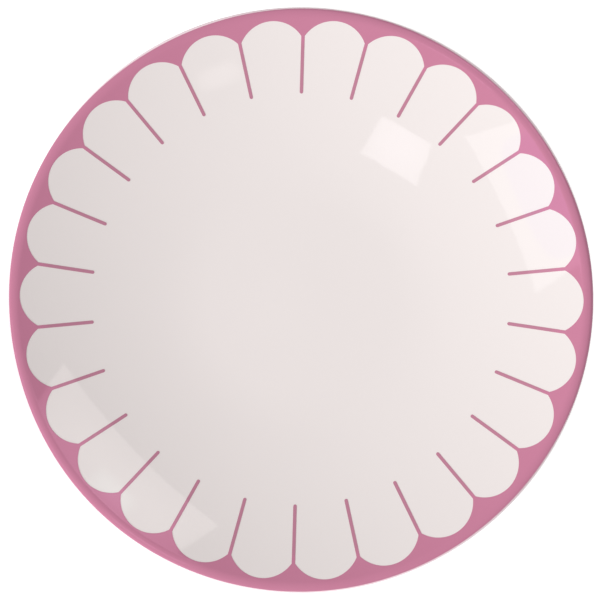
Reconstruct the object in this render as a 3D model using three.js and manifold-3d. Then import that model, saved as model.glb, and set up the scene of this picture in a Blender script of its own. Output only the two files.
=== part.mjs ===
// A rimless breakfast plate: a porcelain body, two glaze coats and a fired-on scallop border.
// Millimetres, +Z up. The origin is on the plate's axis, on the plane that the plate stands on.
import * as THREE from 'three';
import { mergeVertices } from 'three/addons/utils/BufferGeometryUtils.js';
import Module from 'manifold-3d';

// Plate
const PLATE_DIAMETER = 215; // over the glaze
const BODY_WALL = 3.4; // of the bare body, the same from the middle to the lip
const WELL_FLAT_RADIUS = 10; // flat spot in the middle of the well
const WELL_RADIUS = 35; // where the slightly sunk well runs into the shoulder
const WELL_SLOPE = 2.3; // degrees from level
const SHOULDER_RADIUS = 52; // where the shoulder's bend runs into the wall
const SHOULDER_SLOPE = 7.8; // degrees from level
const RIM_SLOPE = 19.5; // degrees from level, where the wall runs into the lip
const LIP_CROWN = 5; // radius of the lip's top
const LIP_FALL = 10; // degrees past level, where the lip's top runs into its edge

// Foot ring
const FOOT_DIAMETER = 116; // along the middle of the standing face
const FOOT_WIDTH = 3.6; // between the sides, at the standing plane
const FOOT_DEPTH = 3.2; // from the standing plane up to the underside of the body
const FOOT_DRAFT = 15; // degrees from upright, on both sides
const FOOT_FILLET = 2; // where a side runs into the underside
const FOOT_CHAMFER = 0.5; // along both edges of the standing face

// Glaze
const BOND = 0.02; // gap between two layers that are fired together
const GLAZE_THICKNESS = 0.3;
const GLAZE_LINE = 1; // height on the foot's sides where the glaze stops

// Scallop border, with its widths and lengths as seen from above
const PETAL_COUNT = 26;
const BARE_LIP = 0.7; // white lip left outside the border
const BAND_WIDTH = 3.65; // at the tip of a petal
const SCALLOP_DEPTH = 7.5; // from a petal's tip in to the corner between two petals
const PETAL_LENGTH = 27; // from a petal's tip in to the inner end of the strokes
const STROKE_WIDTH = 1.25;
const PRINT_THICKNESS = 0.06;

// Number of facets on each curve
const FACETS_PER_PETAL = 3;
const WELL_FACETS = 1;
const SHOULDER_FACETS = 1;
const WALL_FACETS = 3;
const CROWN_FACETS = 1;
const EDGE_FACETS = 2;
const FILLET_FACETS = 2;
const SCALLOP_FACETS = 8;
const STROKE_END_FACETS = 3;

const { degToRad, lerp } = THREE.MathUtils;
const rimSlope = degToRad(RIM_SLOPE);
const lipFall = degToRad(LIP_FALL);
const footDraft = degToRad(FOOT_DRAFT);

const coat = BOND + GLAZE_THICKNESS;
const halfWall = BODY_WALL / 2;
const printBottom = coat + BOND;
const printTop = printBottom + PRINT_THICKNESS;

// Values from first to last in equal steps, both ends included.
function steps(first, last, count) {
  return Array.from({ length: count + 1 }, (_, i) => first + ((last - first) * i) / count);
}

function polar(centre, radius, angle) {
  return new THREE.Vector2(Math.cos(angle), Math.sin(angle)).multiplyScalar(radius).add(centre);
}

// Section of the wall and the lip
// The lip's top is an arc that runs on from the wall's face. The lip's edge is an arc that runs on from
// the top and meets the back of the wall, so its radius follows from the wall's thickness.
const turnCosine = Math.cos(rimSlope + lipFall);
const lipEdge = (BODY_WALL - LIP_CROWN * (1 - turnCosine)) / (1 + turnCosine);
const edgeReach = PLATE_DIAMETER / 2 - coat - lipEdge;
const crownReach = edgeReach - (LIP_CROWN - lipEdge) * Math.sin(lipFall);
const wallEnd = crownReach - (LIP_CROWN - halfWall) * Math.sin(rimSlope);

// The wall's middle line is level at first, and then arcs that run into one another at these places.
const bends = [
  { radius: WELL_FLAT_RADIUS, slope: 0 },
  { radius: WELL_RADIUS, slope: degToRad(WELL_SLOPE) },
  { radius: SHOULDER_RADIUS, slope: degToRad(SHOULDER_SLOPE) },
  { radius: wallEnd, slope: rimSlope },
];
const arcs = bends.slice(1).map((end, i) => ({ start: bends[i], end }));

// Along an arc the sine of the slope grows evenly with the radius.
function slopeAt(radius) {
  const { start, end } = arcs.find((arc) => radius < arc.end.radius) ?? arcs.at(-1);
  const along = Math.max(radius - start.radius, 0) / (end.radius - start.radius);
  return Math.asin(lerp(Math.sin(start.slope), Math.sin(end.slope), along));
}

// An arc climbs by its run times the tangent of its mean slope.
function heightAt(radius) {
  let height = FOOT_DEPTH + halfWall;
  for (const { start, end } of arcs) {
    const reach = Math.min(radius, end.radius);
    const run = Math.max(reach - start.radius, 0);
    height += run * Math.tan((start.slope + slopeAt(reach)) / 2);
  }
  return height;
}

// Point square to the middle line, this far above it, or below it where the distance is negative.
function wallPoint(radius, distance) {
  return polar(new THREE.Vector2(radius, heightAt(radius)), distance, Math.PI / 2 + slopeAt(radius));
}

// The curves are divided at the same radii and angles on every layer, so that facets lie face to face.
const rings = [
  ...steps(WELL_FLAT_RADIUS, WELL_RADIUS, WELL_FACETS),
  ...steps(WELL_RADIUS, SHOULDER_RADIUS, SHOULDER_FACETS).slice(1),
  ...steps(SHOULDER_RADIUS, wallEnd, WALL_FACETS).slice(1, -1),
];

const crownCentre = wallPoint(wallEnd, halfWall - LIP_CROWN);
const edgeCentre = polar(crownCentre, LIP_CROWN - lipEdge, Math.PI / 2 - lipFall);
const printEdge = Math.acos(1 - BARE_LIP / (lipEdge + coat));

function facePath(offset) {
  return [0, ...rings].map((radius) => wallPoint(radius, halfWall + offset));
}

// Over the lip's top and down its edge as far as the print goes.
function overLip(offset) {
  const angles = steps(Math.PI / 2 + rimSlope, Math.PI / 2 - lipFall, CROWN_FACETS);
  return [
    ...angles.map((angle) => polar(crownCentre, LIP_CROWN + offset, angle)),
    polar(edgeCentre, lipEdge + offset, printEdge),
  ];
}

// From the lip's widest point round to the back of the wall.
function underLip(offset) {
  const angles = steps(0, rimSlope - Math.PI / 2, EDGE_FACETS);
  return angles.map((angle) => polar(edgeCentre, lipEdge + offset, angle));
}

// One side of the foot ring, 1 for the outer side and -1 for the inner one.
// The fillet's centre is found by halving: it lies one fillet radius off the underside and off the side.
function footSide(side) {
  const corner = new THREE.Vector2((FOOT_DIAMETER + side * FOOT_WIDTH) / 2, 0);
  const outward = new THREE.Vector2(side * Math.cos(footDraft), -Math.sin(footDraft));
  const filletCentre = (radius) => wallPoint(radius, -halfWall - FOOT_FILLET);
  const halvings = 50;
  let inFoot = FOOT_DIAMETER / 2;
  let offFoot = side > 0 ? wallEnd : 0;
  for (let halving = 0; halving < halvings; halving += 1) {
    const radius = (inFoot + offFoot) / 2;
    const distance = filletCentre(radius).sub(corner).dot(outward);
    if (distance < FOOT_FILLET) inFoot = radius;
    else offFoot = radius;
  }
  const root = offFoot;
  const fromWall = Math.PI / 2 + slopeAt(root);
  const toSide = side > 0 ? Math.PI - footDraft : footDraft;
  return {
    root,
    corner,
    filletPath(offset) {
      const angles = steps(fromWall, toSide, FILLET_FACETS);
      return angles.map((angle) => polar(filletCentre(root), FOOT_FILLET - offset, angle));
    },
    pointAt(height, offset) {
      const lean = height * Math.tan(footDraft) + offset / Math.cos(footDraft);
      return new THREE.Vector2(corner.x + side * lean, height);
    },
  };
}
const innerFoot = footSide(-1);
const outerFoot = footSide(1);

// From the axis over the face, round the lip and down the back to the outer side of the foot ring.
function outerPath(offset) {
  const backRings = rings.filter((radius) => radius > outerFoot.root).reverse();
  return [
    ...facePath(offset),
    ...overLip(offset),
    ...underLip(offset),
    ...backRings.map((radius) => wallPoint(radius, -halfWall - offset)),
    ...outerFoot.filletPath(offset),
  ];
}

// From the axis along the underside to the inner side of the foot ring.
function basePath(offset) {
  const baseRings = rings.filter((radius) => radius < innerFoot.root);
  return [
    ...[0, ...baseRings].map((radius) => wallPoint(radius, -halfWall - offset)),
    ...innerFoot.filletPath(offset),
  ];
}

// From the flat of the well out over the lip to the print's edge.
function printPath(offset) {
  return [...facePath(offset).slice(1), ...overLip(offset)];
}

function turned(profile) {
  return new THREE.LatheGeometry(profile, PETAL_COUNT * FACETS_PER_PETAL).rotateX(Math.PI / 2);
}

// Body
function bodyGeometry() {
  const standing = (foot, inward) => new THREE.Vector2(foot.corner.x + inward * FOOT_CHAMFER, 0);
  return turned([
    ...basePath(0),
    innerFoot.pointAt(FOOT_CHAMFER, 0),
    standing(innerFoot, 1),
    standing(outerFoot, -1),
    outerFoot.pointAt(FOOT_CHAMFER, 0),
    ...outerPath(0).reverse(),
  ]);
}

// Glaze coats
function glazeCoatGeometry() {
  return turned([
    ...outerPath(BOND),
    outerFoot.pointAt(GLAZE_LINE, BOND),
    outerFoot.pointAt(GLAZE_LINE, coat),
    ...outerPath(coat).reverse(),
  ]);
}

function baseGlazeGeometry() {
  return turned([
    ...basePath(coat),
    innerFoot.pointAt(GLAZE_LINE, coat),
    innerFoot.pointAt(GLAZE_LINE, BOND),
    ...basePath(BOND).reverse(),
  ]);
}

// Scallop border
// The flower that the border leaves white: a scallop at each petal, and a stroke cut in between petals.
function flowerShape() {
  const pitch = (2 * Math.PI) / PETAL_COUNT;
  const toStroke = pitch / 2;
  const axis = new THREE.Vector2(0, 0);
  const tip = PLATE_DIAMETER / 2 - BARE_LIP - BAND_WIDTH;
  const corner = tip - SCALLOP_DEPTH;

  // The scallop is the circle through a petal's tip and its two corners.
  const halfChord = corner * Math.sin(toStroke);
  const rise = tip - corner * Math.cos(toStroke);
  const scallopRadius = (halfChord ** 2 + rise ** 2) / (2 * rise);
  const scallopCentre = new THREE.Vector2(tip - scallopRadius, 0);
  const toStrokeSide = scallopCentre.x * Math.sin(toStroke) - STROKE_WIDTH / 2;
  const sweep = toStroke + Math.asin(toStrokeSide / scallopRadius);

  // A stroke ends in a half round.
  const endCentre = polar(axis, tip - PETAL_LENGTH + STROKE_WIDTH / 2, toStroke);
  const petal = [
    ...steps(-sweep, sweep, SCALLOP_FACETS).map((angle) => polar(scallopCentre, scallopRadius, angle)),
    ...steps(toStroke - Math.PI / 2, toStroke - (3 * Math.PI) / 2, STROKE_END_FACETS).map((angle) =>
      polar(endCentre, STROKE_WIDTH / 2, angle),
    ),
  ];
  const petals = Array.from({ length: PETAL_COUNT }, (_, i) =>
    petal.map((point) => point.clone().rotateAround(axis, i * pitch)),
  );
  return new THREE.Shape(petals.flat());
}

const wasm = await Module();
wasm.setup();

function toSolid(geometry) {
  geometry.deleteAttribute('normal');
  geometry.deleteAttribute('uv');
  const merged = mergeVertices(geometry);
  const vertProperties = new Float32Array(merged.attributes.position.array);
  const triVerts = new Uint32Array(merged.index.array);
  return new wasm.Manifold(new wasm.Mesh({ numProp: 3, vertProperties, triVerts }));
}

function toGeometry(solid) {
  const { vertProperties, triVerts } = solid.getMesh();
  const geometry = new THREE.BufferGeometry();
  geometry.setAttribute('position', new THREE.BufferAttribute(vertProperties, 3));
  geometry.setIndex(new THREE.BufferAttribute(triVerts, 1));
  geometry.computeVertexNormals();
  return geometry;
}

// A thin skin over the wall and the lip, with the flower cut out of it.
function borderGeometry() {
  const lower = printPath(printBottom);
  const skin = toSolid(turned([...lower, ...printPath(printTop).reverse(), lower[0]]));
  const aboveLip = crownCentre.y + LIP_CROWN + BODY_WALL;
  const flower = new THREE.ExtrudeGeometry(flowerShape(), { depth: aboveLip, bevelEnabled: false });
  return toGeometry(skin.subtract(toSolid(flower)));
}

// Assembly
function piece(name, geometry, color, roughness) {
  const material = new THREE.MeshStandardMaterial({ color, roughness, metalness: 0 });
  const mesh = new THREE.Mesh(geometry, material);
  mesh.name = name;
  return mesh;
}

const plate = new THREE.Group();
plate.name = 'breakfast_plate';
plate.add(
  piece('porcelain_body', bodyGeometry(), 0xe9e3dc, 0.8),
  piece('glaze_coat', glazeCoatGeometry(), 0xece4e2, 0.12),
  piece('base_glaze', baseGlazeGeometry(), 0xece4e2, 0.12),
  piece('scallop_border', borderGeometry(), 0xd0809f, 0.15),
);

export default plate;
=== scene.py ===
from math import asin, cos, pi, radians, sin, tan

import bpy
import numpy as np
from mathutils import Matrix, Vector


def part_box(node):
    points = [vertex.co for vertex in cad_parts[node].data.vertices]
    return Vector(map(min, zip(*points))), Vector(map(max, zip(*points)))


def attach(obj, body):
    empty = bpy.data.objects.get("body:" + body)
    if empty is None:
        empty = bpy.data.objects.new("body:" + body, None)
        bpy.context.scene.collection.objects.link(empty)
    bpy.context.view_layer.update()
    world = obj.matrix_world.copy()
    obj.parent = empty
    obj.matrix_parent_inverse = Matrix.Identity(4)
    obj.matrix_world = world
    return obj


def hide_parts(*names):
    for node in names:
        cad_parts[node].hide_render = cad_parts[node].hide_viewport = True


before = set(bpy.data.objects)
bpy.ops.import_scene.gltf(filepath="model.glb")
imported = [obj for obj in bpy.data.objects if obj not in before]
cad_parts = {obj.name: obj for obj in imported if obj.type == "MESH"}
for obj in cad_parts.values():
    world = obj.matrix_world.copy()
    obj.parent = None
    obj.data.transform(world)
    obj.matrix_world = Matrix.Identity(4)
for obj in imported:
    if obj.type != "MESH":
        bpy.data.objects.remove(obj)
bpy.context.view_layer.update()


# Porcelain body
# Pressed porcelain, fired once to a hard white biscuit: a dished wall of even thickness with a crowned lip,
# and a foot ring under it. Glaze covers all of it but the foot's standing face, which is wiped bare so that
# the plate doesn't stick to the kiln shelf.

BODY_WALL = 0.0034
WELL_FLAT_RADIUS = 0.010
WELL_RADIUS = 0.035
WELL_SLOPE = radians(2.3)
SHOULDER_RADIUS = 0.052
SHOULDER_SLOPE = radians(7.8)
RIM_SLOPE = radians(19.5)
LIP_CROWN = 0.005
LIP_FALL = radians(10)
FOOT_DIAMETER = 0.116
FOOT_WIDTH = 0.0036
FOOT_DEPTH = 0.0032
FOOT_DRAFT = radians(15)
FOOT_FILLET = 0.002
FOOT_EDGE_RADIUS = 0.0006

AROUND = 416
FACE_STEPS = (1, 4, 4, 8)
LIP_STEPS = (4, 7)
BACK_STEPS = 7
BASE_STEPS = (1, 4, 6, 2)
FILLET_STEPS = 5
FOOT_EDGE_STEPS = 7
ROOT_STATIONS = 20001
SHARP_EDGE = radians(35)

BISCUIT_PALE = (0.80, 0.755, 0.70)
BISCUIT_DARK = (0.70, 0.645, 0.58)
BISCUIT_IOR = 1.45
BISCUIT_ROUGHNESS = 0.86
CLAY_GRAIN = {"size": 0.00035, "detail": 4.0}
CLAY_GRAIN_DEPTH = 0.00006
CLAY_CLOUD = {"size": 0.009, "detail": 3.0}
CLAY_CLOUD_SHARE = 0.6
SCUFF_GREY = (0.46, 0.44, 0.42)
SCUFF_PATCH = {"size": 0.0016, "detail": 5.0}
SCUFF_SPREAD = (0.5, 0.72)
SCUFF_HEIGHTS = (0.0001, 0.0005)
SCUFF_TINT = 0.45
SCUFF_POLISH = 0.2

half_wall = BODY_WALL / 2
turn_cosine = cos(RIM_SLOPE + LIP_FALL)
lip_edge = (BODY_WALL - LIP_CROWN * (1 - turn_cosine)) / (1 + turn_cosine)
edge_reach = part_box("porcelain_body")[1].y - lip_edge
crown_reach = edge_reach - (LIP_CROWN - lip_edge) * sin(LIP_FALL)
wall_end = crown_reach - (LIP_CROWN - half_wall) * sin(RIM_SLOPE)
bend_radii = np.array([WELL_FLAT_RADIUS, WELL_RADIUS, SHOULDER_RADIUS, wall_end])
bend_slopes = np.array([0, WELL_SLOPE, SHOULDER_SLOPE, RIM_SLOPE])


def wall_slope(radius):
    """Slope of the wall's middle line: none on the flat, and then its sine grows evenly with the radius
    from each bend to the next, so that the line is three arcs that run into each other."""
    return np.arcsin(np.interp(radius, bend_radii, np.sin(bend_slopes)))


def wall_height(radius):
    """Height of the middle line: each arc climbs by its run times the tangent of its middle slope."""
    reach = np.clip(np.asarray(radius)[..., None], bend_radii[:-1], bend_radii[1:])
    climbs = (reach - bend_radii[:-1]) * np.tan((bend_slopes[:-1] + wall_slope(reach)) / 2)
    return FOOT_DEPTH + half_wall + climbs.sum(axis=-1)


def wall_line(radius, distance):
    """Points a distance square above the middle line, or below it where the distance is negative."""
    slope = wall_slope(radius)
    return np.stack([
        radius - distance * np.sin(slope),
        wall_height(radius) + distance * np.cos(slope),
    ], axis=-1)


crown_centre = wall_line(wall_end, half_wall - LIP_CROWN)
edge_centre = crown_centre + (LIP_CROWN - lip_edge) * np.array([sin(LIP_FALL), cos(LIP_FALL)])
lip_turns = [pi / 2 + RIM_SLOPE, pi / 2 - LIP_FALL, RIM_SLOPE - pi / 2]


def lip_line(turn, offset):
    """Points of the lip by the angle that its surface faces: a wide arc over the crown, and from where that
    falls away a tight arc round the edge, both widened by the offset."""
    on_crown = np.asarray(turn > lip_turns[1])[..., None]
    centre = np.where(on_crown, crown_centre, edge_centre)
    radius = np.where(on_crown, LIP_CROWN, lip_edge) + offset
    return centre + radius * np.stack([np.cos(turn), np.sin(turn)], axis=-1)


def stations(stops, counts):
    """Values from the first stop to the last, with a count of even steps from each stop to the next."""
    steps = [np.linspace(*ends, count, endpoint=False) for *ends, count in zip(stops, stops[1:], counts)]
    return np.append(np.concatenate(steps), stops[-1])


def arc(centre, radius, first, last, steps):
    """Points of a circle in the section, evenly spaced from one angle to another."""
    angle = np.linspace(first, last, steps + 1)
    return centre + radius * np.column_stack([np.cos(angle), np.sin(angle)])


class FootSide:
    """One side of the foot ring, 1 for the outer and -1 for the inner: a line that leans by the draft,
    with a fillet at its root whose centre lies one fillet radius off the side and off the wall."""

    def __init__(self, side):
        self.side = side
        self.corner = (FOOT_DIAMETER + side * FOOT_WIDTH) / 2
        outward = np.array([side * cos(FOOT_DRAFT), -sin(FOOT_DRAFT)])
        radii = np.linspace(0, wall_end, ROOT_STATIONS)
        centres = wall_line(radii, -half_wall - FOOT_FILLET)
        distance = (centres - [self.corner, 0]) @ outward
        self.root = np.interp(side * FOOT_FILLET, side * distance, radii)
        self.centre = wall_line(self.root, -half_wall - FOOT_FILLET)

    def fillet(self, offset, fineness=1):
        """Arc of the fillet from the wall to the side, drawn in towards its centre by the offset."""
        from_wall = pi / 2 + wall_slope(self.root)
        to_side = pi - FOOT_DRAFT if self.side > 0 else FOOT_DRAFT
        return arc(self.centre, FOOT_FILLET - offset, from_wall, to_side, FILLET_STEPS * fineness)

    def point(self, height, offset):
        """Point at that height on a line that lies the offset off the side."""
        lean = height * tan(FOOT_DRAFT) + offset / cos(FOOT_DRAFT)
        return np.array([self.corner + self.side * lean, height])


inner_foot, outer_foot = FootSide(-1), FootSide(1)


def outer_path(offset, fineness=1):
    """Section line from the axis over the face, round the lip and down the back to the foot's outer
    side."""
    face = stations([0, *bend_radii], np.multiply(FACE_STEPS, fineness))
    lip = stations(lip_turns, np.multiply(LIP_STEPS, fineness))
    back = stations([wall_end, outer_foot.root], [BACK_STEPS * fineness])
    return np.concatenate([
        wall_line(face, half_wall + offset),
        lip_line(lip[1:], offset),
        wall_line(back[:-1], -half_wall - offset),
        outer_foot.fillet(offset, fineness),
    ])


def base_path(offset):
    """Section line from the axis along the underside to the foot's inner side."""
    base = stations([0, *bend_radii[:-1], inner_foot.root], BASE_STEPS)
    return np.concatenate([wall_line(base[:-1], -half_wall - offset), inner_foot.fillet(offset)])


def body_section():
    """The body's outline: along the underside, down and up the foot with its rounded edges, and back
    over the lip and the face to the axis."""
    edge = FOOT_EDGE_RADIUS
    lean = edge * tan(pi / 4 - FOOT_DRAFT / 2)
    inner_edge = np.array([inner_foot.corner + lean, edge])
    outer_edge = np.array([outer_foot.corner - lean, edge])
    return np.concatenate([
        base_path(0),
        arc(inner_edge, edge, pi + FOOT_DRAFT, 3 * pi / 2, FOOT_EDGE_STEPS),
        arc(outer_edge, edge, -pi / 2, -FOOT_DRAFT, FOOT_EDGE_STEPS),
        outer_path(0)[::-1],
    ])


bearings = np.linspace(0, 2 * pi, AROUND, endpoint=False)


def around_axis(angle, radius, height):
    """Points in space at those angles round the axis, radii from it and heights."""
    return np.stack([radius * np.cos(angle), radius * np.sin(angle), height], axis=-1)


def turned(section):
    """Grid of a section line carried round the axis: row by row along the line, column by column
    round it."""
    radius, height = section[:, :1], section[:, 1:]
    return around_axis(bearings, radius, height + 0 * bearings)


def grid_faces(index):
    """Quads between the rows of a grid of vertex numbers, which face to the right of the way they run."""
    corners = [index[:-1, :-1], index[:-1, 1:], index[1:, 1:], index[1:, :-1]]
    return np.stack(corners, axis=-1).reshape(-1, 4)


def make_piece(name, points, faces, material):
    """A smooth mesh object that stands in the part's own frame and rides on its one body."""
    mesh = bpy.data.meshes.new(name)
    mesh.from_pydata(points.reshape(-1, 3).tolist(), [], faces)
    mesh.polygons.foreach_set("use_smooth", np.ones(len(faces), bool))
    mesh.set_sharp_from_angle(angle=SHARP_EDGE)
    mesh.materials.append(material)
    piece = bpy.data.objects.new(name, mesh)
    bpy.context.scene.collection.objects.link(piece)
    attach(piece, "root")
    return piece


def turned_piece(name, grid, material):
    """Closes a turned grid into a solid: its first and last rows lie on the axis, so each is one point."""
    rings = grid[1:-1]
    count = rings[..., 0].size
    index = np.arange(count).reshape(rings.shape[:2])
    index = np.concatenate([index, index[:, :1]], axis=1)
    start, end = np.full(AROUND, count), np.full(AROUND, count + 1)
    first = np.stack([start, index[0, 1:], index[0, :-1]], axis=-1)
    last = np.stack([end, index[-1, :-1], index[-1, 1:]], axis=-1)
    points = np.concatenate([rings.reshape(-1, 3), grid[0, :1], grid[-1, :1]])
    faces = [*grid_faces(index).tolist(), *first.tolist(), *last.tolist()]
    return make_piece(name, points, faces, material)


class Wire:
    """An output of a shader's nodes. Arithmetic on it adds Math nodes, and node() adds any other node."""

    MIX_SHARE, MIX_FIRST, MIX_SECOND, MIX_COLOUR = 0, 6, 7, 2

    def __init__(self, tree, socket=None):
        self.tree, self.socket = tree, socket

    def node(self, kind, settings=None, sockets=None, output=0):
        """An output of a new node, whose settings are set before the values or links of its sockets."""
        made = self.tree.nodes.new(kind)
        for name, value in (settings or {}).items():
            setattr(made, name, value)
        for name, value in (sockets or {}).items():
            if isinstance(value, Wire):
                self.tree.links.new(value.socket, made.inputs[name])
            else:
                made.inputs[name].default_value = value
        return Wire(self.tree, made.outputs[output])

    def maths(self, operation, first, second):
        return self.node("ShaderNodeMath", {"operation": operation}, {0: first, 1: second})

    def __add__(self, other):
        return self.maths("ADD", self, other)

    def __sub__(self, other):
        return self.maths("SUBTRACT", self, other)

    def __rsub__(self, other):
        return self.maths("SUBTRACT", other, self)

    def __mul__(self, other):
        return self.maths("MULTIPLY", self, other)

    def __pow__(self, other):
        return self.maths("POWER", self, other)

    __radd__, __rmul__ = __add__, __mul__

    def part(self, vector, axis):
        """One part of a vector: X, Y or Z."""
        return self.node("ShaderNodeSeparateXYZ", {}, {0: vector}, axis)

    def noise(self, place, size, detail):
        """Cloudy noise around a half, with features of about that size in metres."""
        return self.node("ShaderNodeTexNoise", {}, {"Vector": place, "Scale": 1 / size, "Detail": detail})

    def ramp(self, value, low, high):
        """Smooth step from 0 at low to 1 at high."""
        sockets = {"Value": value, "From Min": low, "From Max": high}
        return self.node("ShaderNodeMapRange", {"interpolation_type": "SMOOTHSTEP"}, sockets)

    def mix(self, share, first, second):
        """Colour between two colours, or between two sockets that hold colours. A Mix node has sockets of
        one name for each type of value, so the colours go by number."""
        first, second = [c if isinstance(c, Wire) else (*c, 1) for c in (first, second)]
        sockets = {self.MIX_SHARE: share, self.MIX_FIRST: first, self.MIX_SECOND: second}
        return self.node("ShaderNodeMix", {"data_type": "RGBA"}, sockets, self.MIX_COLOUR)

    def bump(self, height, depth):
        """Normal of a relief whose height from 0 to 1 stands for that depth in metres."""
        sockets = {"Height": height, "Distance": depth, "Strength": 1.0}
        return self.node("ShaderNodeBump", {}, sockets, "Normal")


def finish(name, constants):
    """A material with one Principled shader, with the sockets that are the same all over set on it.
    Returns the material, a wire to start from, Object coordinates and a function that links a socket."""
    material = bpy.data.materials.new(name)
    material.use_nodes = True
    tree = material.node_tree
    shader = tree.nodes["Principled BSDF"]
    for socket, value in constants.items():
        shader.inputs[socket].default_value = value
    wire = Wire(tree)
    place = wire.node("ShaderNodeTexCoord", output="Object")

    def link(socket, value):
        tree.links.new(value.socket, shader.inputs[socket])

    return material, wire, place, link


def biscuit_material():
    """Matt white clay with a fine sandy grain, and grey scuffs where the ring slides on shelves."""
    material, wire, place, link = finish("biscuit_porcelain", {"IOR": BISCUIT_IOR})
    grain = wire.noise(place, **CLAY_GRAIN)
    cloud = wire.noise(place, **CLAY_CLOUD)
    low = 1 - wire.ramp(wire.part(place, "Z"), *SCUFF_HEIGHTS)
    worn = low * wire.ramp(wire.noise(place, **SCUFF_PATCH), *SCUFF_SPREAD)
    tone = cloud * CLAY_CLOUD_SHARE + grain * (1 - CLAY_CLOUD_SHARE)
    clay = wire.mix(tone, BISCUIT_PALE, BISCUIT_DARK)
    link("Base Color", wire.mix(worn * SCUFF_TINT, clay, SCUFF_GREY))
    link("Roughness", BISCUIT_ROUGHNESS - worn * SCUFF_POLISH)
    link("Normal", wire.bump(grain, CLAY_GRAIN_DEPTH))
    return material


biscuit_body = turned_piece("biscuit_body", turned(body_section()), biscuit_material())
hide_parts("porcelain_body")


# Glaze coats
# One dip of warm white glaze, melted to a glassy skin a third of a millimetre thick. It runs over the
# face, the lip and the back, and fills the base inside the foot ring. Wiping the ring parts it into two
# coats, whose edges draw up into a small wavering bead.

BOND = 0.00002
GLAZE_LINE = 0.001
GLAZE_WAVER = {5: (0.00016, radians(10)), 13: (0.00011, radians(-2)), 31: (0.00006, radians(-9))}
GLAZE_FINENESS = 3
BEAD_STEPS = 8

GLAZE_WHITE = (0.84, 0.775, 0.758)
GLAZE_THIN = (0.825, 0.765, 0.746)
GLAZE_IOR = 1.5
GLAZE_ROUGHNESS = 0.02
GLAZE_SHEEN = {"size": 0.012, "detail": 3.0}
GLAZE_SHEEN_RANGE = 0.02
GLAZE_CLOUD = {"size": 0.03, "detail": 3.0}
GLAZE_CLOUD_SHARE = 0.7
GLAZE_SPECK = {"size": 0.0012, "detail": 2.0}
GLAZE_RIPPLE = {"size": 0.007, "detail": 1.0}
GLAZE_RIPPLE_DEPTH = 0.000006
GLAZE_POOLED = (0.76, 0.73, 0.70)
POOL_REACH = (0.0035, 0.0075)
POOL_TINT = 0.35
LIP_BLUSH = (0.94, 0.755, 0.80)
BLUSH_REACH = (0.0018, 0.0010)

plate_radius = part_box("glaze_coat")[1].y
coat = plate_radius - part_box("porcelain_body")[1].y


def glaze_bead(foot):
    """Section of the glaze's edge on a side of the foot, from the body out: a bead, which is a half
    circle as thick as the coat."""
    inner, outer = foot.point(GLAZE_LINE, BOND), foot.point(GLAZE_LINE, coat)
    start = pi if foot.side > 0 else 0
    return arc((inner + outer) / 2, abs(outer - inner).max() / 2, start, start + foot.side * pi, BEAD_STEPS)


def waves(angle, sizes):
    """Sum of waves round the plate: for how often each goes round, its size and the bearing of a crest."""
    return sum(size * np.cos(count * (angle - crest)) for count, (size, crest) in sizes.items())


def wavering(bead, foot):
    """Grid of a turned bead that lies higher and lower round the ring, and moves along the foot's leaning
    side."""
    lift = waves(bearings, GLAZE_WAVER)
    lean = foot.side * tan(FOOT_DRAFT) * lift
    return turned(bead) + around_axis(bearings, lean, lift)


def axis_distance(wire, place):
    """Radius from the plate's axis, from Object coordinates."""
    flat = wire.node("ShaderNodeVectorMath", {"operation": "MULTIPLY"}, {0: place, 1: (1, 1, 0)})
    return wire.node("ShaderNodeVectorMath", {"operation": "LENGTH"}, {0: flat}, "Value")


def glaze_material():
    """Glassy white: a faint cloudiness, a cooler tone where glaze pools round the foot's root, a blush on
    the lip, where the pink of the border flashes over, and the slight ripple that a melted skin keeps."""
    material, wire, place, link = finish("white_glaze", {"IOR": GLAZE_IOR})
    root_height = wall_height(FOOT_DIAMETER / 2) - half_wall
    radius = axis_distance(wire, place)
    height = wire.part(place, "Z")
    from_root = ((radius - FOOT_DIAMETER / 2) ** 2 + (height - root_height) ** 2) ** 0.5
    below = 1 - wire.ramp(height, root_height, root_height + half_wall)
    pooled = (1 - wire.ramp(from_root, *POOL_REACH)) * below
    cloud, speck = wire.noise(place, **GLAZE_CLOUD), wire.noise(place, **GLAZE_SPECK)
    tone = cloud * GLAZE_CLOUD_SHARE + speck * (1 - GLAZE_CLOUD_SHARE)
    white = wire.mix(tone, GLAZE_WHITE, GLAZE_THIN)
    coated = wire.mix(pooled * POOL_TINT, white, GLAZE_POOLED)
    blush_start, blush_full = [plate_radius - reach for reach in BLUSH_REACH]
    above = wire.ramp(height, edge_centre[1] - half_wall / 2, edge_centre[1] + half_wall / 2)
    blush = wire.ramp(radius, blush_start, blush_full) * above
    link("Base Color", wire.mix(blush, coated, LIP_BLUSH))
    link("Roughness", GLAZE_ROUGHNESS + wire.noise(place, **GLAZE_SHEEN) * GLAZE_SHEEN_RANGE)
    link("Normal", wire.bump(wire.noise(place, **GLAZE_RIPPLE), GLAZE_RIPPLE_DEPTH))
    return material


white_glaze = glaze_material()
coat_grid = np.concatenate([
    turned(outer_path(BOND)),
    wavering(glaze_bead(outer_foot), outer_foot),
    turned(outer_path(coat, GLAZE_FINENESS)[::-1]),
])
glaze_over = turned_piece("glaze_over_plate", coat_grid, white_glaze)
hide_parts("glaze_coat")

base_grid = np.concatenate([
    turned(base_path(coat)),
    wavering(glaze_bead(inner_foot)[::-1], inner_foot),
    turned(base_path(BOND)[::-1]),
])
glaze_under = turned_piece("glaze_under_base", base_grid, white_glaze)
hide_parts("base_glaze")


# Scallop border
# A pink ceramic colour printed on a transfer, slid on to the glaze and fired into it: a band over the lip
# with a scallop cut at each of the petals, and a fine stroke that runs in from each corner between two.

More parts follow.
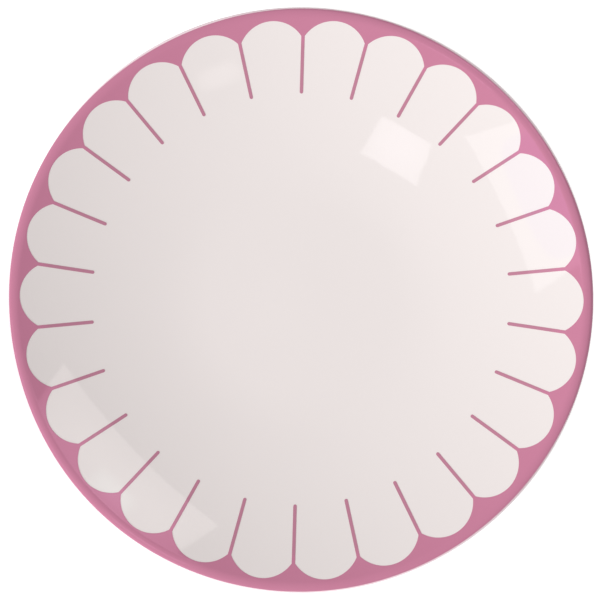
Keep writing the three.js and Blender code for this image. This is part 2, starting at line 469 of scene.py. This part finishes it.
PETAL_COUNT = 26
BARE_LIP = 0.0007
BAND_WIDTH = 0.00382
SCALLOP_DEPTH = 0.0069
PETAL_LENGTH = 0.0267
STROKE_WIDTH = 0.00125
PRINT_THICKNESS = 0.00006
PRINT_SUNK = 0.00001
LEAN = radians(1.03)
SLIDE = {
    1: (0.00099, radians(33)), 2: (0.00074, radians(-27)),
    3: (0.00028, radians(-33)), 4: (0.0001, radians(44)),
}
END_PULL = {1: (0.00046, radians(101)), 2: (0.00053, radians(11)), 3: (0.00022, radians(4))}
TIP_PULL = {
    1: (0.00011, radians(33)), 2: (0.00022, radians(0)), 3: (0.0002, radians(8)),
    4: (0.00025, radians(-15)), 5: (0.00018, radians(5)),
}
LIP_PULL = {
    1: (0.00011, radians(-108)), 2: (0.00007, radians(75)),
    4: (0.00005, radians(17)), 5: (0.00006, radians(14)),
}

SCALLOP_STEPS = 36
STROKE_STEPS_ACROSS, STROKE_STEPS_ALONG = 8, 18
BAND_STEPS = 28
SECTION_STATIONS = 300

PINK = (0.541, 0.198, 0.30)
PINK_THIN = (0.577, 0.222, 0.328)
STROKE_PINK = (0.5, 0.214, 0.292)
STROKE_FADE = 0.004
GLOSS_TINT = (1.0, 0.5, 0.75, 1.0)
PIGMENT_GRAIN = {"size": 0.0004, "detail": 3.0}
FILM_CLOUD = {"size": 0.016, "detail": 3.0}
FILM_CLOUD_SHARE = 0.65
PRINT_ROUGHNESS = 0.025
PIGMENT_ROUGHNESS_RANGE = 0.03

pitch = 2 * pi / PETAL_COUNT
stroke_turns = pitch * np.arange(PETAL_COUNT)[:, None] - pitch / 2
petal_tip = plate_radius - BARE_LIP - BAND_WIDTH
petal_corner = petal_tip - SCALLOP_DEPTH
half_stroke = STROKE_WIDTH / 2


def scallop_outline():
    """Plan of the band's inner edge over one pitch, in polar form: across the mouth of a stroke, and then
    round the circle through a petal's tip and its two corners, as far as the next stroke. Returns that
    line, the places across the stroke, and how far out its mouth lies."""
    half_chord, rise = petal_corner * sin(pitch / 2), petal_tip - petal_corner * cos(pitch / 2)
    radius = (half_chord**2 + rise**2) / (2 * rise)
    centre = petal_tip - radius
    sweep = pitch / 2 + asin((centre * sin(pitch / 2) - half_stroke) / radius)
    turn = np.linspace(-sweep, sweep, SCALLOP_STEPS + 1)
    across, along = radius * np.sin(turn), centre + radius * np.cos(turn)
    mouth = np.sqrt(across[0] ** 2 + along[0] ** 2 - half_stroke**2)
    offset = half_stroke * np.sin(np.linspace(-pi / 2, pi / 2, STROKE_STEPS_ACROSS + 1))
    stroke = np.column_stack([np.arctan2(offset, mouth), np.hypot(offset, mouth)])
    petal = np.column_stack([pitch / 2 + np.arctan2(across, along), np.hypot(across, along)])
    return np.concatenate([stroke, petal[1:-1]]), offset, mouth


scallop_edge, stroke_offsets, stroke_mouth = scallop_outline()


def laid(angle, radius):
    """Angle and radius at which a point of the transfer comes to lie. The film is laid on wet and by hand:
    it slides along the rim, leans a little from the axis, and is pulled outwards by waves at the petals'
    tips that turn into other waves at the ends of the strokes."""
    inwards = (petal_tip - radius) / PETAL_LENGTH
    pull = (1 - inwards) * waves(angle, TIP_PULL) + inwards * waves(angle, END_PULL)
    lean = LEAN * np.log((petal_tip - PETAL_LENGTH / 2) / radius)
    return angle + waves(angle, SLIDE) / radius + lean, radius + pull


def print_line(offset):
    """Section line that the print follows on one offset of the glaze, from the shoulder to the outermost
    point of the lip. Returns its radii, its heights and the lengths along it."""
    wall = wall_line(np.linspace(SHOULDER_RADIUS, wall_end, SECTION_STATIONS), half_wall + coat + offset)
    lip = lip_line(np.linspace(lip_turns[0], 0, SECTION_STATIONS), coat + offset)
    radii, heights = np.concatenate([wall, lip[1:]]).T
    lengths = np.append(0, np.cumsum(np.hypot(np.diff(radii), np.diff(heights))))
    return radii, heights, lengths


def band_grid(offset):
    """Points of the band, which runs along the section from its scalloped edge to the bare line that it
    leaves on the lip. That line is pulled as the petals' tips are, and by waves of its own."""
    radii, heights, lengths = print_line(offset)
    drawn = (scallop_edge[:, 0] + stroke_turns).ravel()
    angle, inner = laid(drawn, np.tile(scallop_edge[:, 1], PETAL_COUNT))
    first = np.interp(inner, radii, lengths)
    pull = waves(drawn, TIP_PULL) + waves(drawn, LIP_PULL)
    last = np.interp(radii[-1] - BARE_LIP, radii, lengths) + pull
    place = first + np.linspace(0, 1, BAND_STEPS + 1)[:, None] * (last - first)
    return around_axis(angle, np.interp(place, lengths, radii), np.interp(place, lengths, heights))


def stroke_grids(offset):
    """Points of the strokes, each of which runs straight in from its mouth to its round end."""
    radii, heights, _ = print_line(offset)
    round_end = petal_tip - PETAL_LENGTH + half_stroke - np.sqrt(half_stroke**2 - stroke_offsets**2)
    inwards = np.linspace(0, 1, STROKE_STEPS_ALONG + 1)[1:, None]
    along = stroke_mouth + inwards * (round_end - stroke_mouth)
    drawn = np.arctan2(stroke_offsets, along) + stroke_turns[:, :, None]
    angle, radius = laid(drawn, np.hypot(along, stroke_offsets))
    return around_axis(angle, radius, np.interp(radius, radii, heights))


def border_faces(band, strokes):
    """Quads of the band, closed round the plate, and of each stroke, whose first row is the band's own."""
    index = np.arange(band[..., 0].size).reshape(band.shape[:2])
    closed = np.concatenate([index, index[:, :1]], axis=1)
    mouths = index[0].reshape(PETAL_COUNT, 1, -1)[:, :, :strokes.shape[2]]
    stroke_index = band[..., 0].size + np.arange(strokes[..., 0].size).reshape(strokes.shape[:3])
    rows = np.concatenate([mouths, stroke_index], axis=1)
    stroke_quads = np.concatenate([grid_faces(row[::-1]) for row in rows])
    return np.concatenate([grid_faces(closed), stroke_quads])[:, ::-1]


def closed_layer(lower, upper, faces):
    """Solid between two sheets with the same faces: both sheets, and a wall along every open edge."""
    count = len(upper)
    edges = np.stack([faces, np.roll(faces, -1, axis=1)], axis=-1).reshape(-1, 2)
    _, first, uses = np.unique(np.sort(edges, axis=1), axis=0, return_index=True, return_counts=True)
    rim = edges[first[uses == 1]]
    walls = np.stack([rim[:, 1], rim[:, 0], rim[:, 0] + count, rim[:, 1] + count], axis=-1)
    everything = np.concatenate([faces, faces[:, ::-1] + count, walls])
    return np.concatenate([upper, lower]), everything.tolist()


def print_material():
    """Fired colour: a grain of pigment, a slow change of tone where the film is thicker, and a duller tone
    in the fine strokes, inside the corners of the scallops."""
    material, wire, place, link = finish("pink_border", {"IOR": GLAZE_IOR, "Specular Tint": GLOSS_TINT})
    pigment = wire.noise(place, **PIGMENT_GRAIN)
    film = wire.noise(place, **FILM_CLOUD)
    tone = film * FILM_CLOUD_SHARE + pigment * (1 - FILM_CLOUD_SHARE)
    pink = wire.mix(tone, PINK, PINK_THIN)
    in_band = wire.ramp(axis_distance(wire, place), petal_corner - STROKE_FADE, petal_corner)
    link("Base Color", wire.mix(in_band, STROKE_PINK, pink))
    link("Roughness", PRINT_ROUGHNESS + pigment * PIGMENT_ROUGHNESS_RANGE)
    link("Normal", wire.bump(wire.noise(place, **GLAZE_RIPPLE), GLAZE_RIPPLE_DEPTH))
    return material


print_offsets = (-PRINT_SUNK, BOND + PRINT_THICKNESS)
sheets = [(band_grid(offset), stroke_grids(offset)) for offset in print_offsets]
lower, upper = [np.concatenate([part.reshape(-1, 3) for part in sheet]) for sheet in sheets]
points, faces = closed_layer(lower, upper, border_faces(*sheets[1]))
pink_scallops = make_piece("pink_scallops", points, faces, print_material())
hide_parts("scallop_border")


# Table top
# A wide white sheet under the plate, bright enough to the camera to be the plain white ground of a
# catalogue picture, on which the plate's shadow still falls.

FLOOR_HALF = 3.0
FLOOR_WHITE = (0.8, 0.8, 0.8)
FLOOR_SHADE = (0.776, 0.776, 0.776)
FLOOR_FIBRE = {"size": 0.002, "detail": 3.0}
FLOOR_ROUGHNESS = 0.9
FLOOR_GLOW = 0.7
WHITE, BLACK = (1, 1, 1), (0, 0, 0)


def seen_directly(wire):
    """1 for a ray from the camera, or one that a mirror or glass sends on, and 0 for light on the
    object."""
    rays = ("Is Camera Ray", "Is Glossy Ray", "Is Transmission Ray")
    camera, glossy, through = [wire.node("ShaderNodeLightPath", output=ray) for ray in rays]
    return wire.maths("MINIMUM", camera + glossy + through, 1)


def floor_material():
    """White paper, with a glow for rays that show it, so that it is plain white outside the shadow."""
    constants = {"Roughness": FLOOR_ROUGHNESS, "Emission Strength": FLOOR_GLOW}
    material, wire, place, link = finish("white_table", constants)
    link("Base Color", wire.mix(wire.noise(place, **FLOOR_FIBRE), FLOOR_WHITE, FLOOR_SHADE))
    link("Emission Color", wire.mix(seen_directly(wire), BLACK, WHITE))
    return material


corners = FLOOR_HALF * np.array([[-1, -1, 0], [1, -1, 0], [1, 1, 0], [-1, 1, 0]])
floor_mesh = bpy.data.meshes.new("white_table")
floor_mesh.from_pydata(corners.tolist(), [], [[0, 1, 2, 3]])
floor_mesh.materials.append(floor_material())
floor = bpy.data.objects.new("white_table", floor_mesh)
bpy.context.scene.collection.objects.link(floor)


# Studio light
# A white room for soft light from all round, and a broad key far off to the left. Three cloth-fronted boxes
# hang level over the table for the glaze to mirror: one small, one beside the key and one across from it.
# Two small lamps, in front of the far box and off to a side, show as soft spots.

ROOM_LIGHT = 0.4065
KEY_LIGHT = 0.536
KEY_ZENITH, KEY_BEARING = radians(52), radians(208.5)
KEY_DISTANCE = 12.0
KEY_SIZE = (7.1, 5.5)
BOX_HEIGHT = 1.5
LAMP_HEIGHT = 1.49


def area_light(name, place, size, radiance):
    """A rectangle of light that the camera itself doesn't see. Its power is pi times its radiance and its
    area."""
    lamp = bpy.data.lights.new(name, "AREA")
    lamp.shape = "RECTANGLE"
    lamp.size, lamp.size_y = size
    lamp.energy = radiance * pi * size[0] * size[1]
    light = bpy.data.objects.new(name, lamp)
    light.location = place
    light.visible_camera = False
    bpy.context.scene.collection.objects.link(light)
    return light


def key_light():
    """The key faces the plate. Its radiance gives a level white face that part of its full brightness."""
    away = Vector((
        sin(KEY_ZENITH) * cos(KEY_BEARING), sin(KEY_ZENITH) * sin(KEY_BEARING), cos(KEY_ZENITH),
    ))
    solid_angle = KEY_SIZE[0] * KEY_SIZE[1] / KEY_DISTANCE**2
    radiance = KEY_LIGHT * pi / (solid_angle * cos(KEY_ZENITH))
    key = area_light("key_softbox", KEY_DISTANCE * away, KEY_SIZE, radiance)
    key.rotation_euler = away.to_track_quat("Z", "Y").to_euler()
    key.visible_glossy = False


def hump(share):
    """Parabola that is 1 half way along and 0 at both ends."""
    return share * (1 - share) * 4


def softbox(name, place, size, turn, rim, middle, spread=(0, 1)):
    """A level box. A swell, 1 in the middle of its front and 0 at its rim, is a hump across it times the
    root of one along it. Over that spread of the swell, its light turns from the rim's to the middle's."""
    box = area_light(name, place, size, 1)
    box.rotation_euler = (0, 0, turn)
    box.data.use_nodes = True
    tree = box.data.node_tree
    wire = Wire(tree)
    front = wire.node("ShaderNodeNewGeometry", output="Parametric")
    swell = hump(wire.part(front, "X")) ** 0.5 * hump(wire.part(front, "Y"))
    light = wire.mix(wire.ramp(swell, *spread), rim, middle)
    tree.links.new(light.socket, tree.nodes["Emission"].inputs["Color"])


key_light()
softbox(
    "small_softbox", place=(-0.24, -0.381, BOX_HEIGHT), size=(0.167, 0.153), turn=radians(62.6),
    rim=(1.85, 1.78, 1.85), middle=(2.27, 2.17, 2.35),
)
softbox(
    "near_softbox", place=(-0.761, -0.3406, BOX_HEIGHT), size=(0.494, 0.42), turn=radians(115.5),
    rim=(1.33, 1.33, 1.35), middle=(0.87, 0.77, 1.5), spread=(0.5, 0.6),
)
softbox(
    "far_softbox", place=(0.6323, 0.595, BOX_HEIGHT), size=(0.658, 0.48), turn=radians(135),
    rim=(1.5, 1.39, 1.36), middle=(2.65, 2.45, 2.4),
)
softbox(
    "far_lamp", place=(0.5743, 0.5978, LAMP_HEIGHT), size=(0.17, 0.15), turn=radians(135),
    rim=BLACK, middle=(0.9, 1.35, 1.2),
)
softbox(
    "side_lamp", place=(0.242, -0.644, LAMP_HEIGHT), size=(0.14, 0.13), turn=radians(21),
    rim=BLACK, middle=(1.1, 1.02, 1.0),
)

room = bpy.data.worlds.new("white_room")
room.use_nodes = True
background = room.node_tree.nodes["Background"]
background.inputs["Color"].default_value = (*WHITE, 1)
strength = ROOM_LIGHT + seen_directly(Wire(room.node_tree)) * (1 - ROOM_LIGHT)
room.node_tree.links.new(strength.socket, background.inputs["Strength"])
bpy.context.scene.world = room
bpy.context.scene.view_settings.view_transform = "Standard"


# Camera
# It looks straight down from well above, turned a little about the plate's axis, so that the plate's
# outline lies where the picture has it.

IMAGE_WIDTH, IMAGE_HEIGHT = 600, 599
PLATE_CENTRE_PX = (300.4, 300.16)
PLATE_RADIUS_PX = 293.0
CAMERA_TURN = radians(0.65)
LENS_MM = 200

pixel = plate_radius / PLATE_RADIUS_PX
camera_data = bpy.data.cameras.new("camera")
camera_data.lens = LENS_MM
camera = bpy.data.objects.new("camera", camera_data)
camera.location = (
    (IMAGE_WIDTH / 2 - PLATE_CENTRE_PX[0]) * pixel,
    (PLATE_CENTRE_PX[1] - IMAGE_HEIGHT / 2) * pixel,
    edge_centre[1] + pixel * IMAGE_WIDTH * LENS_MM / camera_data.sensor_width,
)
camera.rotation_euler = (0, 0, CAMERA_TURN)
bpy.context.scene.collection.objects.link(camera)
bpy.context.scene.camera = camera
